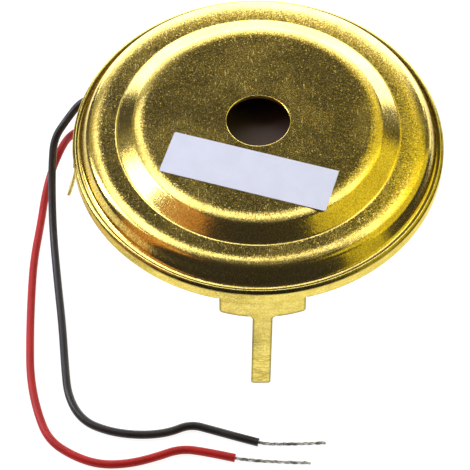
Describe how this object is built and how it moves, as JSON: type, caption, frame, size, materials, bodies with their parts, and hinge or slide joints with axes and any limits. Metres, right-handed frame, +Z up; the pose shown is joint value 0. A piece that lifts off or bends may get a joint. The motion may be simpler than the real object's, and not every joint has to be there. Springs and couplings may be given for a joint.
{
  "type": "piezo buzzer",
  "caption": "Round piezo sounder: stepped brass cover with a central sound hole, rolled into a brass ring with T-shaped mounting tabs, with red and black stranded leads.",
  "frame": {"origin": "on the disc's axis, on the plane that the tips of the three tabs stand on", "axes": "+Z up along the disc's axis, out of the sound hole; the front tab is on -Y"},
  "size_m": [0.0569, 0.0658, 0.0209],
  "materials": {
    "cover_brass": "satin pressed sheet",
    "ring_brass": "satin pressed sheet, scuffed",
    "diaphragm_brass": "rolled sheet",
    "silvered_ceramic": "fired silver on ceramic",
    "spacer_plastic": "plain moulded",
    "label_paper": "smooth coated paper",
    "black_insulation": "soft vinyl",
    "red_insulation": "soft vinyl",
    "tinned_strands": "tinned and twisted",
    "solder": "bright solder"
  },
  "bodies": {
    "root": {"sound_cover": "cover_brass", "mounting_ring": "ring_brass", "diaphragm": "diaphragm_brass", "ceramic_disc": "silvered_ceramic", "spacer_ring": "spacer_plastic", "blank_label": "label_paper", "black_lead": "black_insulation", "black_bare_end": "tinned_strands", "black_soldered_end": "tinned_strands", "black_solder_joint": "solder", "red_lead": "red_insulation", "red_bare_end": "tinned_strands", "red_soldered_end": "tinned_strands", "red_solder_joint": "solder"}
  },
  "joints": []
}
